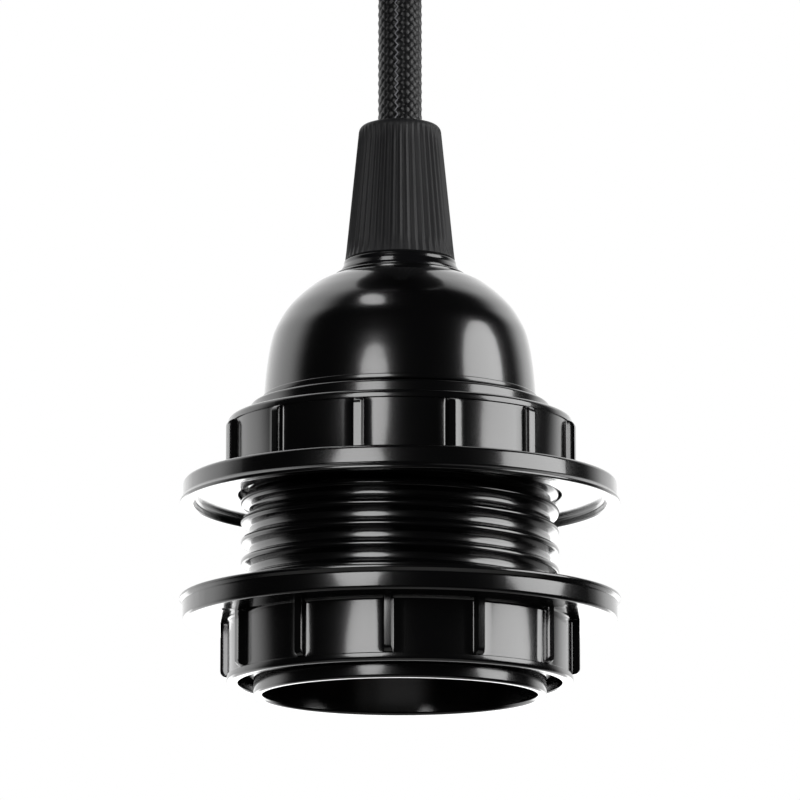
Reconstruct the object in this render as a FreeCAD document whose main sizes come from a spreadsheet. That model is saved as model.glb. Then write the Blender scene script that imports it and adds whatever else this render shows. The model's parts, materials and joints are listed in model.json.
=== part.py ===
"""E27 pendant lamp holder with two screw-on shade rings, hung on a braided cord.

All sizes are in millimetres. The origin is on the ceiling, at the centre of the ceiling fitting's
mounting face. +Z points up, so the whole lamp holder hangs at negative Z, and -Y is its front.
"""
import FreeCAD, Part
import math
import os
import re
import Sketcher

SIZES = {
    # ceiling fitting
    "cup_radius": 25.0,
    "cup_height": 20.0,
    "cup_wall": 1.6,
    "cup_chamfer": 3.0,
    "bracket_width": 14.0,
    "bracket_gauge": 1.5,
    "bracket_drop": 8.0,
    "bracket_hole_radius": 2.2,
    "bracket_hole_pitch": 28.0,
    "bracket_clearance": 0.3,
    "cup_screw_radius": 1.5,
    "cup_screw_head_radius": 2.8,
    "cup_screw_head": 1.2,
    "cup_screw_length": 5.0,
    "cup_screw_drop": 4.5,
    "cup_hole_clearance": 0.4,
    "cord_stop_radius": 6.5,
    "cord_stop_height": 8.0,
    "cord_stop_screw_radius": 1.5,
    "cord_stop_screw_reach": 1.0,
    # cord
    "cord_radius": 3.0,
    "cord_drop": 26.6,
    "cord_end_clearance": 2.0,
    "cord_exit_depth": 2.5,
    "cord_clearance": 0.15,
    "core_radius": 1.0,
    "core_offset": 1.3,
    "core_bend": 1.8,
    "tail_length": 1.2,
    # cord grip
    "grip_height": 18.9,
    "grip_base_radius": 7.4,
    "grip_top_radius": 5.6,
    "grip_top_round": 1.5,
    "grip_ribs": 44,
    "grip_rib_depth": 0.35,
    "grip_groove_share": 0.6,
    "grip_groove_end": 0.4,
    "grip_bore_radius": 5.9,
    "grip_bore_height": 9.0,
    "grip_web": 3.0,
    "grip_cone_height": 1.5,
    "flange_radius": 8.1,
    "flange_top_radius": 7.55,
    "flange_height": 1.8,
    "flange_flare": 3.0,
    "bush_neck_radius": 5.5,
    "bush_neck_height": 6.0,
    "collet_radius": 4.3,
    "collet_height": 13.0,
    "collet_clearance": 0.4,
    "collet_slot": 0.9,
    "stem_radius": 5.0,
    "stem_length": 8.0,
    "lock_nut_flats": 12.5,
    "lock_nut_height": 2.5,
    # cap
    "cap_wall": 2.0,
    "cap_collar_radius": 8.9,
    "cap_collar_height": 0.6,
    "cap_crown_radius": 9.6,
    "cap_shoulder_radius": 14.0,
    "cap_shoulder_drop": 3.6,
    "cap_side_radius": 17.0,
    "cap_side_drop": 8.2,
    "cap_shoulder_arc": 6.8,
    "cap_base_radius": 18.25,
    "cap_height": 17.7,
    "cap_bead_proud": 0.25,
    "cap_bead_height": 0.8,
    "neck_clearance": 0.4,
    "neck_length": 6.0,
    "neck_wall": 1.2,
    # skirt
    "seat_gap": 0.3,
    "skirt_height": 39.3,
    "mouth_radius": 18.3,
    "band_wall": 1.2,
    "band_height": 2.4,
    "thread_step": 0.6,
    "thread_depth": 1.2,
    "thread_pitch": 2.7,
    "thread_crest_width": 0.9,
    "thread_root_width": 0.7,
    "thread_end_margin": 3.0,
    "thread_root_sink": 0.25,
    "ledge_height": 2.2,
    "ledge_clearance": 1.6,
    "chamber_inset": 0.3,
    # shade rings
    "ring_clearance": 0.3,
    "ring_height": 11.6,
    "ring_wall": 1.3,
    "ring_shoulder": 1.05,
    "ring_step": 0.2,
    "ring_flange_width": 6.1,
    "ring_flange_height": 3.2,
    "ring_disc_thickness": 2.0,
    "ring_lip_wall": 1.4,
    "ring_bead_proud": 0.45,
    "ring_bead_height": 0.4,
    "ring_ribs": 12,
    "ring_rib_width": 1.25,
    "ring_rib_height": 1.1,
    "ring_rib_round": 0.9,
    "ring_rib_sink": 0.4,
    "lower_ring_level": 1.7,
    "ring_spacing": 12.5,
    # socket insert
    "base_clearance": 0.6,
    "base_thickness": 3.6,
    "hub_radius": 7.6,
    "hub_height": 5.0,
    "shell_radius": 13.8,
    "shell_wall": 0.5,
    "shell_length": 21.5,
    "shell_clearance": 0.2,
    "leaf_width": 5.0,
    "leaf_gauge": 0.5,
    "leaf_foot": 1.6,
    "leaf_reach": 5.4,
    "leaf_drop": 2.6,
    "leaf_pivot": 5.0,
    "leaf_clearance": 0.3,
    "rivet_radius": 1.1,
    "rivet_head_radius": 2.0,
    "rivet_head": 0.7,
    "rivet_offset": 10.6,
    "terminal_length": 8.0,
    "terminal_width": 6.0,
    "terminal_height": 5.0,
    "terminal_offset": 9.5,
    "terminal_plate_gauge": 0.8,
    "terminal_bore_depth": 4.0,
    "terminal_screw_radius": 1.4,
    "terminal_screw_reach": 0.8,
    "hole_clearance": 0.1,
}

# Turn of each shade ring about the axis, in degrees: where its first rib stands, counted from +X
UPPER_RING_TURN = 16.5
LOWER_RING_TURN = -3.8

# Turn of the skirt about the axis, in degrees: where its thread starts, counted from +X
SKIRT_TURN = -160.0

# How a swept section turns a corner of its path: with a mitre
MITRED = 1

# The axis and the angle in degrees that turn a bar from +Z to each direction
BAR_TURNS = {"X": ((0, 1, 0), 90), "Y": ((1, 0, 0), -90), "Z": ((0, 0, 1), 0)}

CELLS = {alias: f"Sizes.{alias}" for alias in SIZES}

document = FreeCAD.newDocument("LampHolder")
sheet = document.addObject("Spreadsheet::Sheet", "Sizes")


def fill_sheet():
    """Write every driving size in the sheet, its name in column A and its value in column B."""
    for row, (alias, value) in enumerate(SIZES.items(), start=1):
        sheet.set(f"A{row}", alias)
        sheet.set(f"B{row}", str(value))
        sheet.setAlias(f"B{row}", alias)
    document.recompute()


def bound(text):
    """The expression with each size's name written as a reference to its cell."""
    return re.sub(r"[a-z]\w+", lambda word: CELLS.get(word.group(0), word.group(0)), text)


def value_of(text):
    """The number that an expression in sizes' names comes to."""
    return float(sheet.evalExpression(bound(text)))


# Heights along the axis, as expressions in the sizes, all measured from the ceiling
GRIP_TOP = "-(cup_height + cord_drop)"
GRIP_BASE = f"({GRIP_TOP} - grip_height)"
CAP_TOP = f"({GRIP_BASE} - flange_height)"
CAP_BASE = f"({CAP_TOP} - cap_height)"
RIM = f"({CAP_BASE} - seat_gap - skirt_height)"
BASE_TOP = f"({CAP_BASE} - neck_length)"
BASE_BOTTOM = f"({BASE_TOP} - base_thickness)"

# Radii that follow from one another, as expressions in the sizes
CHAMBER = "(mouth_radius - chamber_inset)"
NECK = f"({CHAMBER} - neck_clearance)"
BAND = "(mouth_radius + band_wall)"
THREAD_ROOT = f"({BAND} + thread_step)"
THREAD_CREST = f"({THREAD_ROOT} + thread_depth)"
RING_BORE = f"({THREAD_CREST} + ring_clearance)"
RING_WALL = f"({RING_BORE} + ring_wall)"
RING_FLANGE = f"({RING_WALL} + ring_flange_width)"

# Levels of the two shade rings
LOWER_RING_TOP = f"({RIM} + lower_ring_level + ring_height)"
UPPER_RING_BASE = f"({LOWER_RING_TOP} + ring_spacing)"


def origin_plane(body, role):
    """One of the body's own origin planes."""
    return next(item for item in body.Origin.OriginFeatures if item.Role == role)


def new_body(label, level="0", turn=0.0, flipped=False):
    """A body named label whose own origin is on the axis at the given height."""
    body = document.addObject("PartDesign::Body", label)
    body.Label = label
    tilt = FreeCAD.Rotation(FreeCAD.Vector(1, 0, 0), 180 if flipped else 0)
    spin = FreeCAD.Rotation(FreeCAD.Vector(0, 0, 1), turn)
    body.Placement = FreeCAD.Placement(FreeCAD.Vector(0, 0, 0), spin.multiply(tilt))
    body.setExpression("Placement.Base.z", bound(level))
    return body


def new_sketch(body, name, role, offset=None):
    """An empty sketch on one of the body's origin planes, moved off it by an expression if given."""
    sketch = body.newObject("Sketcher::SketchObject", name)
    sketch.AttachmentSupport = [(origin_plane(body, role), "")]
    sketch.MapMode = "FlatFace"
    if offset:
        sketch.setExpression("AttachmentOffset.Base.z", bound(offset))
    return sketch


def draw_outline(sketch, points):
    """Draw a closed outline and tie each of its corners to expressions in the sizes.

    A point is (x, y), or (x, y, radius) where an arc of that radius leads to it. A positive radius
    bulges to the left of the way there, and a negative one to the right.
    """
    places = [FreeCAD.Vector(value_of(point[0]), value_of(point[1]), 0) for point in points]
    for index, point in enumerate(points):
        start, end = places[index - 1], places[index]
        if len(point) == 2:
            sketch.addGeometry(Part.LineSegment(start, end), False)
        else:
            sketch.addGeometry(arc_between(start, end, value_of(point[2])), False)
    last_ends = [far_end(edge, place) for edge, place in zip(sketch.Geometry, places)]
    for index, point in enumerate(points):
        tie_corner(sketch, index, last_ends[index], point, places[index])
        after = (index + 1) % len(points)
        first_end = 3 - last_ends[after]
        corner = Sketcher.Constraint("Coincident", index, last_ends[index], after, first_end)
        sketch.addConstraint(corner)
        if len(point) == 3:
            size = abs(value_of(point[2]))
            radius = sketch.addConstraint(Sketcher.Constraint("Radius", index, size))
            sketch.setExpression(f"Constraints[{radius}]", bound(f"abs({point[2]})"))


def far_end(edge, place):
    """The number of the edge's end that lies at a place: 1 for its start and 2 for its end."""
    if edge.StartPoint.distanceToPoint(place) < edge.EndPoint.distanceToPoint(place):
        return 1
    return 2


def arc_between(start, end, radius):
    """The shorter arc from start to end, bulging left where the radius is positive."""
    chord = end - start
    left = FreeCAD.Vector(-chord.y, chord.x, 0).normalize()
    depth = math.sqrt(radius ** 2 - (chord.Length / 2) ** 2)
    centre = (start + end) * 0.5 - left * math.copysign(depth, radius)
    first, last = (end, start) if radius > 0 else (start, end)
    from_angle = math.atan2(first.y - centre.y, first.x - centre.x)
    to_angle = math.atan2(last.y - centre.y, last.x - centre.x)
    circle = Part.Circle(centre, FreeCAD.Vector(0, 0, 1), abs(radius))
    return Part.ArcOfCircle(circle, from_angle, to_angle)


def tie_corner(sketch, index, end, point, place):
    """Hold one end of an outline's edge at its two expressions."""
    for kind, text, size in (("DistanceX", point[0], place.x), ("DistanceY", point[1], place.y)):
        if abs(size) < 1e-9:
            axis = -2 if kind == "DistanceX" else -1
            sketch.addConstraint(Sketcher.Constraint("PointOnObject", index, end, axis))
        else:
            tied = sketch.addConstraint(Sketcher.Constraint(kind, -1, 1, index, end, size))
            sketch.setExpression(f"Constraints[{tied}]", bound(text))


def revolve(body, name, points):
    """Turn an outline of (radius, height) points about the body's axis."""
    sketch = new_sketch(body, f"{name}_outline", "XZ_Plane")
    draw_outline(sketch, points)
    feature = body.newObject("PartDesign::Revolution", name)
    feature.Profile = sketch
    feature.ReferenceAxis = (sketch, ["V_Axis"])
    feature.Angle = 360
    document.recompute()
    return feature


def pad_slab(body, name, points, width, role="XZ_Plane", cut=False):
    """Add or cut a slab whose outline lies on an origin plane, as wide on one side as on the other."""
    sketch = new_sketch(body, f"{name}_outline", role)
    draw_outline(sketch, points)
    return through_both_sides(body, name, sketch, width, cut)


def through_both_sides(body, name, sketch, width, cut):
    """A pad or a pocket of a sketch that reaches half the width to each side of its plane."""
    feature = body.newObject("PartDesign::Pocket" if cut else "PartDesign::Pad", name)
    feature.Profile = sketch
    feature.setExpression("Length", bound(width))
    feature.Midplane = True
    document.recompute()
    return feature


def drill(body, name, role, x, y, radius, depth):
    """Cut a round hole across one of the body's origin planes, half its depth to each side."""
    sketch = new_sketch(body, f"{name}_circle", role)
    centre = FreeCAD.Vector(value_of(x), value_of(y), 0)
    axis = FreeCAD.Vector(0, 0, 1)
    sketch.addGeometry(Part.Circle(centre, axis, value_of(radius)), False)
    tie_corner(sketch, 0, 3, (x, y), centre)
    size = sketch.addConstraint(Sketcher.Constraint("Radius", 0, value_of(radius)))
    sketch.setExpression(f"Constraints[{size}]", bound(radius))
    return through_both_sides(body, name, sketch, depth, True)


def repeat_round(body, name, feature, count):
    """Repeat a feature evenly round the body's axis."""
    pattern = body.newObject("PartDesign::PolarPattern", name)
    pattern.Originals = [feature]
    pattern.Axis = (origin_plane(body, "Z_Axis"), [""])
    pattern.Angle = 360
    pattern.setExpression("Occurrences", bound(count))
    body.Tip = pattern
    document.recompute()
    return pattern


def cylinder(name, radius, height, place, along="Z"):
    """A round bar from a place, given as three expressions, along +X, +Y or +Z."""
    bar = document.addObject("Part::Cylinder", name)
    bar.setExpression("Radius", bound(radius))
    bar.setExpression("Height", bound(height))
    turn_axis, angle = BAR_TURNS[along]
    turn = FreeCAD.Rotation(FreeCAD.Vector(*turn_axis), angle)
    bar.Placement = FreeCAD.Placement(FreeCAD.Vector(0, 0, 0), turn)
    for letter, text in zip("xyz", place):
        bar.setExpression(f"Placement.Base.{letter}", bound(text))
    return bar


def fused(name, pieces):
    """One solid of several that overlap or touch."""
    union = document.addObject("Part::MultiFuse", name)
    union.Shapes = pieces
    union.Label = name
    return union


def cut(name, base, tool):
    """A solid with another taken out of it."""
    result = document.addObject("Part::Cut", name)
    result.Base = base
    result.Tool = tool
    result.Label = name
    return result


def group(name, pieces):
    """Separate like solids that share one name."""
    compound = document.addObject("Part::Compound", name)
    compound.Links = pieces
    compound.Label = name
    return compound


def ceiling_cup():
    """The round cover that hides the ceiling bracket, with the cord's hole in its floor."""
    body = new_body("ceiling_cup")
    hole = "(cord_radius + cup_hole_clearance)"
    inner = "(cup_radius - cup_wall)"
    revolve(body, "cup_wall_and_floor", [
        (inner, "0"),
        (inner, "-(cup_height - cup_chamfer)"),
        (f"{inner} - cup_chamfer + cup_wall", "-(cup_height - cup_wall)"),
        (hole, "-(cup_height - cup_wall)"),
        (hole, "-cup_height"),
        ("cup_radius - cup_chamfer", "-cup_height"),
        ("cup_radius", "-(cup_height - cup_chamfer)"),
        ("cup_radius", "0"),
    ])
    radius = "cup_screw_radius + hole_clearance"
    drill(body, "screw_holes", "YZ_Plane", "0", "-cup_screw_drop", radius, "3 * cup_radius")
    return body


def ceiling_bracket():
    """The strip bracket on the ceiling, with an ear turned down at each end for a cup screw."""
    body = new_body("ceiling_bracket")
    inside = "(cup_radius - cup_wall - bracket_clearance)"
    reach = f"sqrt({inside}^2 - (bracket_width / 2)^2)"
    inner = f"({reach} - bracket_gauge)"
    pad_slab(body, "strip", [
        (f"-{reach}", "0"),
        (f"-{reach}", "-bracket_drop"),
        (f"-{inner}", "-bracket_drop"),
        (f"-{inner}", "-bracket_gauge"),
        (inner, "-bracket_gauge"),
        (inner, "-bracket_drop"),
        (reach, "-bracket_drop"),
        (reach, "0"),
    ], "bracket_width")
    depth = "3 * bracket_gauge"
    drill(body, "left_hole", "XY_Plane", "-bracket_hole_pitch / 2", "0", "bracket_hole_radius", depth)
    drill(body, "right_hole", "XY_Plane", "bracket_hole_pitch / 2", "0", "bracket_hole_radius", depth)
    radius = "cup_screw_radius + hole_clearance"
    drill(body, "ear_holes", "YZ_Plane", "0", "-cup_screw_drop", radius, "3 * cup_radius")
    return body


def cup_screws():
    """The two side screws that hold the cup to the bracket's ears."""
    left = "-(cup_radius + cup_screw_head)"
    pieces = []
    for side, start, head in (
        ("left", "-cup_radius", left),
        ("right", "cup_radius - cup_screw_length", "cup_radius"),
    ):
        shank = cylinder(f"cup_screw_shank_{side}", "cup_screw_radius", "cup_screw_length",
                         (start, "0", "-cup_screw_drop"), "X")
        cap = cylinder(f"cup_screw_head_{side}", "cup_screw_head_radius", "cup_screw_head",
                       (head, "0", "-cup_screw_drop"), "X")
        pieces.append(fused(f"cup_screw_{side}", [shank, cap]))
    return group("cup_screws", pieces)


def cord_stop():
    """The collar clamped on the cord, which stands on the cup's floor and carries the weight."""
    level = "-(cup_height - cup_wall)"
    middle = f"{level} + cord_stop_height / 2"
    collar = cylinder("cord_stop_collar", "cord_stop_radius", "cord_stop_height", ("0", "0", level))
    bore = cylinder("cord_stop_bore", "cord_radius", "cord_stop_height", ("0", "0", level))
    across = cylinder("cord_stop_tapping", "cord_stop_screw_radius + hole_clearance",
                      "cord_stop_radius", ("0", "-cord_stop_radius", middle), "Y")
    return cut("cord_stop", cut("cord_stop_ring", collar, bore), across)


def cord_stop_screw():
    """The screw that pinches the cord in its stop."""
    level = "-(cup_height - cup_wall) + cord_stop_height / 2"
    place = ("0", "-(cord_stop_radius + cord_stop_screw_reach)", level)
    length = "cord_stop_radius + cord_stop_screw_reach - cord_radius"
    return cylinder("cord_stop_screw", "cord_stop_screw_radius", length, place, "Y")


def cord():
    """The taut cord between the lamp holder's grip and the ceiling fitting."""
    length = "cup_height + cord_drop + cord_exit_depth - cord_end_clearance"
    return cylinder("cord", "cord_radius", length, ("0", "0", f"{GRIP_TOP} - cord_exit_depth"))


def cord_tail():
    """The sheathed end of the cord, clamped in the grip and cut off inside the cap."""
    end = f"({CAP_TOP} - stem_length - tail_length)"
    length = f"{GRIP_TOP} - cord_exit_depth - {end}"
    return cylinder("cord_tail", "cord_radius", length, ("0", "0", end))


def grip_nut():
    """The tapering ribbed nut that closes the collet on the cord."""
    body = new_body("grip_nut", GRIP_BASE)
    hole = "(cord_radius + cord_clearance)"
    throat = "(collet_radius + collet_clearance)"
    shoulder = "(grip_height - grip_top_round)"
    revolve(body, "tapered_wall", [
        (hole, "grip_height"),
        (hole, "grip_height - grip_web"),
        (throat, "grip_height - grip_web - grip_cone_height"),
        (throat, "grip_bore_height"),
        ("grip_bore_radius", "grip_bore_height"),
        ("grip_bore_radius", "0"),
        ("grip_base_radius", "0"),
        ("grip_top_radius", shoulder),
        ("grip_top_radius - grip_top_round", "grip_height", "-grip_top_round"),
    ])
    groove = body.newObject("PartDesign::SubtractiveLoft", "groove")
    low = new_sketch(body, "groove_foot", "XY_Plane")
    draw_outline(low, groove_outline("grip_base_radius"))
    run = f"({shoulder} - grip_groove_end)"
    end_radius = f"(grip_base_radius - (grip_base_radius - grip_top_radius) * {run} / {shoulder})"
    high = new_sketch(body, "groove_head", "XY_Plane", run)
    draw_outline(high, groove_outline(end_radius))
    groove.Profile = low
    groove.Sections = [high]
    groove.Ruled = True
    document.recompute()
    repeat_round(body, "grooves", groove, "grip_ribs")
    return body


def groove_outline(radius):
    """The V between two ribs of the grip where its surface has the given radius."""
    half = f"{radius} * tan(180 deg / grip_ribs) * grip_groove_share"
    return [
        (f"{radius} - grip_rib_depth", "0"),
        (f"{radius} + grip_rib_depth", f"2 * {half}"),
        (f"{radius} + grip_rib_depth", f"-2 * {half}"),
    ]


def grip_bush():
    """The bush of the cord grip: threaded stem, flared flange, neck and slotted collet."""
    body = new_body("grip_bush", CAP_TOP)
    hole = "(cord_radius + cord_clearance)"
    neck_top = "(flange_height + bush_neck_height)"
    collet_top = "(flange_height + collet_height)"
    revolve(body, "turned_form", [
        (hole, "-stem_length"),
        ("stem_radius", "-stem_length"),
        ("stem_radius", "0"),
        ("flange_radius", "0"),
        ("flange_top_radius", "flange_height", "flange_flare"),
        ("bush_neck_radius", "flange_height"),
        ("bush_neck_radius", neck_top),
        ("collet_radius", neck_top),
        ("collet_radius", collet_top),
        (hole, collet_top),
    ])
    slot = pad_slab(body, "collet_slot", [
        ("-collet_slot / 2", neck_top),
        ("collet_slot / 2", neck_top),
        ("collet_slot / 2", f"{collet_top} + collet_slot"),
        ("-collet_slot / 2", f"{collet_top} + collet_slot"),
    ], "3 * collet_radius", cut=True)
    repeat_round(body, "collet_slots", slot, "4")
    return body


def lock_nut():
    """The hexagon nut that holds the grip's stem from inside the cap."""
    level = f"{CAP_TOP} - cap_collar_height - cap_wall - lock_nut_height"
    hexagon = document.addObject("Part::Prism", "lock_nut_hexagon")
    hexagon.Polygon = 6
    hexagon.setExpression("Circumradius", bound("lock_nut_flats / 2 / cos(30 deg)"))
    hexagon.setExpression("Height", bound("lock_nut_height"))
    hexagon.setExpression("Placement.Base.z", bound(level))
    bore = cylinder("lock_nut_bore", "stem_radius", "lock_nut_height", ("0", "0", level))
    return cut("lock_nut", hexagon, bore)


def cap():
    """The domed cap: collar, sloping crown, rounded shoulder, beaded base and the neck that seats it."""
    body = new_body("cap", CAP_TOP)
    hole = "(stem_radius + hole_clearance)"
    roof = "-(cap_collar_height + cap_wall)"
    neck_foot = "-(cap_height + neck_length)"
    revolve(body, "dome", [
        (hole, "0"),
        ("cap_collar_radius", "0"),
        ("cap_collar_radius", "-cap_collar_height"),
        ("cap_crown_radius", "-cap_collar_height"),
        ("cap_shoulder_radius", "-cap_shoulder_drop"),
        ("cap_side_radius", "-cap_side_drop", "cap_shoulder_arc"),
        ("cap_base_radius", "-(cap_height - cap_bead_height)"),
        ("cap_base_radius + cap_bead_proud", "-(cap_height - cap_bead_height)"),
        ("cap_base_radius + cap_bead_proud", "-cap_height"),
        (NECK, "-cap_height"),
        (NECK, neck_foot),
        (f"{NECK} - neck_wall", neck_foot),
        (f"{NECK} - neck_wall", "-cap_height"),
        ("cap_side_radius - cap_wall", "-cap_side_drop"),
        ("cap_shoulder_radius - cap_wall", "-(cap_shoulder_drop + cap_wall)"),
        ("cap_crown_radius - cap_wall", roof),
        (hole, roof),
    ])
    return body


def skirt():
    """The full-length threaded skirt, with a smooth band at its mouth and a ledge for the insert."""
    body = new_body("skirt", RIM, SKIRT_TURN)
    ledge_top = "(skirt_height - neck_length - base_thickness)"
    ledge_foot = f"({ledge_top} - ledge_height)"
    revolve(body, "wall", [
        ("mouth_radius", "0"),
        (BAND, "0"),
        (BAND, "band_height"),
        (THREAD_ROOT, "band_height + thread_step"),
        (THREAD_ROOT, "skirt_height"),
        (CHAMBER, "skirt_height"),
        (CHAMBER, ledge_top),
        ("shell_radius + ledge_clearance", ledge_top),
        ("shell_radius + ledge_clearance", ledge_foot),
        ("mouth_radius", ledge_foot),
    ])
    ridge = new_sketch(body, "ridge_outline", "XZ_Plane")
    middle = "(thread_end_margin + thread_pitch / 2)"
    foot = "(thread_pitch - thread_root_width) / 2"
    inner = f"{THREAD_ROOT} - thread_root_sink"
    draw_outline(ridge, [
        (inner, f"{middle} - {foot}"),
        (THREAD_CREST, f"{middle} - thread_crest_width / 2"),
        (THREAD_CREST, f"{middle} + thread_crest_width / 2"),
        (inner, f"{middle} + {foot}"),
    ])
    thread = body.newObject("PartDesign::AdditiveHelix", "thread")
    thread.Profile = ridge
    thread.ReferenceAxis = (ridge, ["V_Axis"])
    thread.Mode = "pitch-height-angle"
    thread.setExpression("Pitch", bound("thread_pitch"))
    thread.setExpression("Height", bound("skirt_height - 2 * thread_end_margin - thread_pitch"))
    thread.LeftHanded = True
    document.recompute()
    return body


def shade_ring(label, level, flipped, turn):
    """A shade ring: ribbed grip wall, and a flange with a lip that opens away from the wall."""
    body = new_body(label, level, turn, flipped)
    disc_foot = "(ring_flange_height - ring_disc_thickness)"
    wall_top = "(ring_height - ring_shoulder)"
    revolve(body, "flange_and_wall", [
        (RING_BORE, disc_foot),
        (f"{RING_FLANGE} - ring_lip_wall", disc_foot),
        (f"{RING_FLANGE} - ring_lip_wall", "0"),
        (f"{RING_FLANGE} + ring_bead_proud", "0"),
        (f"{RING_FLANGE} + ring_bead_proud", "ring_bead_height"),
        (RING_FLANGE, "ring_bead_height + ring_bead_proud"),
        (RING_FLANGE, "ring_flange_height"),
        (RING_WALL, "ring_flange_height"),
        (RING_WALL, wall_top),
        (f"{RING_WALL} + ring_step", wall_top),
        (f"{RING_WALL} + ring_step - ring_shoulder", "ring_height", "-ring_shoulder"),
        (RING_BORE, "ring_height"),
    ])
    tip = f"({RING_WALL} + ring_rib_height)"
    rib = pad_slab(body, "rib", [
        (f"{RING_WALL} - ring_rib_sink", "ring_flange_height - ring_rib_sink"),
        (tip, "ring_flange_height - ring_rib_sink"),
        (tip, f"{wall_top} - ring_rib_round"),
        (f"{tip} - ring_rib_round", wall_top, "-ring_rib_round"),
        (f"{RING_WALL} - ring_rib_sink", wall_top),
    ], "ring_rib_width")
    repeat_round(body, "ribs", rib, "ring_ribs")
    return body


def contact_base():
    """The insulating base of the insert: a flange clamped by the cap, and a hub for the contact."""
    body = new_body("contact_base", BASE_BOTTOM)
    revolve(body, "turned_form", [
        ("0", "-hub_height"),
        ("hub_radius", "-hub_height"),
        ("hub_radius", "0"),
        (f"{CHAMBER} - base_clearance", "0"),
        (f"{CHAMBER} - base_clearance", "base_thickness"),
        ("0", "base_thickness"),
    ])
    depth = "3 * base_thickness"
    drill(body, "front_rivet_hole", "XY_Plane", "0", "-rivet_offset", "rivet_radius", depth)
    drill(body, "rear_rivet_hole", "XY_Plane", "0", "rivet_offset", "rivet_radius", depth)
    drill(body, "leaf_rivet_hole", "XY_Plane", "leaf_pivot", "0", "rivet_radius", "3 * hub_height")
    return body


def screw_shell():
    """The drawn metal shell that takes the lamp's cap."""
    body = new_body("screw_shell", BASE_BOTTOM)
    inner = "shell_radius - shell_wall"
    revolve(body, "drawn_form", [
        ("hub_radius + shell_clearance", "0"),
        ("shell_radius", "0"),
        ("shell_radius", "-shell_length"),
        (inner, "-shell_length"),
        (inner, "-shell_wall"),
        ("hub_radius + shell_clearance", "-shell_wall"),
    ])
    depth = "3 * shell_wall"
    drill(body, "front_hole", "XY_Plane", "0", "-rivet_offset", "rivet_radius", depth)
    drill(body, "rear_hole", "XY_Plane", "0", "rivet_offset", "rivet_radius", depth)
    return body


def centre_contact():
    """The spring leaf that presses on the lamp's centre contact."""
    body = new_body("centre_contact", f"{BASE_BOTTOM} - hub_height - leaf_clearance")
    bend = "(leaf_pivot - leaf_foot)"
    tip = "(leaf_pivot - leaf_foot - leaf_reach)"
    pad_slab(body, "strip", [
        ("leaf_pivot + leaf_foot", "0"),
        (bend, "0"),
        (tip, "-leaf_drop"),
        (tip, "-(leaf_drop + leaf_gauge)"),
        (bend, "-leaf_gauge"),
        ("leaf_pivot + leaf_foot", "-leaf_gauge"),
    ], "leaf_width")
    radius = "rivet_radius + leaf_clearance"
    drill(body, "rivet_hole", "XY_Plane", "leaf_pivot", "0", radius, "3 * leaf_gauge")
    return body


def rivet(name, x, y, foot, top):
    """A rivet with a head at its foot, which reaches up to the given height."""
    shank = cylinder(f"{name}_shank", "rivet_radius", f"{top} - {foot}", (x, y, foot))
    head = cylinder(f"{name}_head", "rivet_head_radius", "rivet_head", (x, y, f"{foot} - rivet_head"))
    return fused(name, [shank, head])


def leaf_rivet():
    """The rivet that holds the centre contact's leaf to the hub."""
    foot = f"{BASE_BOTTOM} - hub_height - 2 * leaf_clearance - leaf_gauge"
    return rivet("leaf_rivet", "leaf_pivot", "0", f"({foot})", BASE_TOP)


def shell_rivets():
    """The two rivets that hold the shell to the base."""
    foot = f"({BASE_BOTTOM} - shell_wall)"
    front = rivet("shell_rivet_front", "0", "-rivet_offset", foot, BASE_TOP)
    rear = rivet("shell_rivet_rear", "0", "rivet_offset", foot, BASE_TOP)
    return group("shell_rivets", [front, rear])


def box(name, place, sizes):
    """A block from a place, given as three expressions, with its three sizes."""
    block = document.addObject("Part::Box", name)
    for side, text in zip(("Length", "Width", "Height"), sizes):
        block.setExpression(side, bound(text))
    for letter, text in zip("xyz", place):
        block.setExpression(f"Placement.Base.{letter}", bound(text))
    return block


def terminal(label, sign, plate_start, plate_size):
    """A brass terminal: a foot plate over a rivet's end, and a block bored for a core and its screw."""
    centre = f"{sign}terminal_offset"
    outer = f"({centre} - terminal_width / 2)"
    plate = box(f"{label}_plate", (*plate_start, BASE_TOP), (*plate_size, "terminal_plate_gauge"))
    block = box(f"{label}_block", (outer, "-terminal_length / 2", BASE_TOP),
                ("terminal_width", "terminal_length", "terminal_height"))
    top = f"({BASE_TOP} + terminal_height)"
    wire_hole = cylinder(f"{label}_core_hole", "core_radius + hole_clearance", "terminal_bore_depth",
                         (centre, "0", f"{top} - terminal_bore_depth"))
    start = outer if sign else centre
    screw_hole = cylinder(f"{label}_screw_hole", "terminal_screw_radius", "terminal_width / 2",
                          (start, "0", f"{BASE_TOP} + terminal_height / 2"), "X")
    holes = fused(f"{label}_holes", [wire_hole, screw_hole])
    return cut(label, fused(f"{label}_body", [plate, block]), holes)


def live_terminal():
    """The terminal whose plate meets the leaf's rivet."""
    reach = "(leaf_pivot - rivet_head_radius)"
    return terminal("live_terminal", "", (reach, "-rivet_head_radius"),
                    (f"terminal_offset - {reach}", "2 * rivet_head_radius"))


def neutral_terminal():
    """The terminal whose plate meets the front rivet of the shell."""
    front = "(rivet_offset + rivet_head_radius)"
    return terminal("neutral_terminal", "-", ("-terminal_offset", f"-{front}"),
                    ("terminal_offset + rivet_head_radius", front))


def terminal_screws():
    """The screws that pinch the cores in their terminals."""
    clear = "(core_radius + hole_clearance)"
    length = f"terminal_width / 2 + terminal_screw_reach - {clear}"
    level = f"{BASE_TOP} + terminal_height / 2"
    right = cylinder("terminal_screw_right", "terminal_screw_radius", length,
                     (f"terminal_offset + {clear}", "0", level), "X")
    left = cylinder("terminal_screw_left", "terminal_screw_radius", length,
                    ("-(terminal_offset + terminal_width / 2 + terminal_screw_reach)", "0", level), "X")
    return group("terminal_screws", [left, right])


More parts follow.
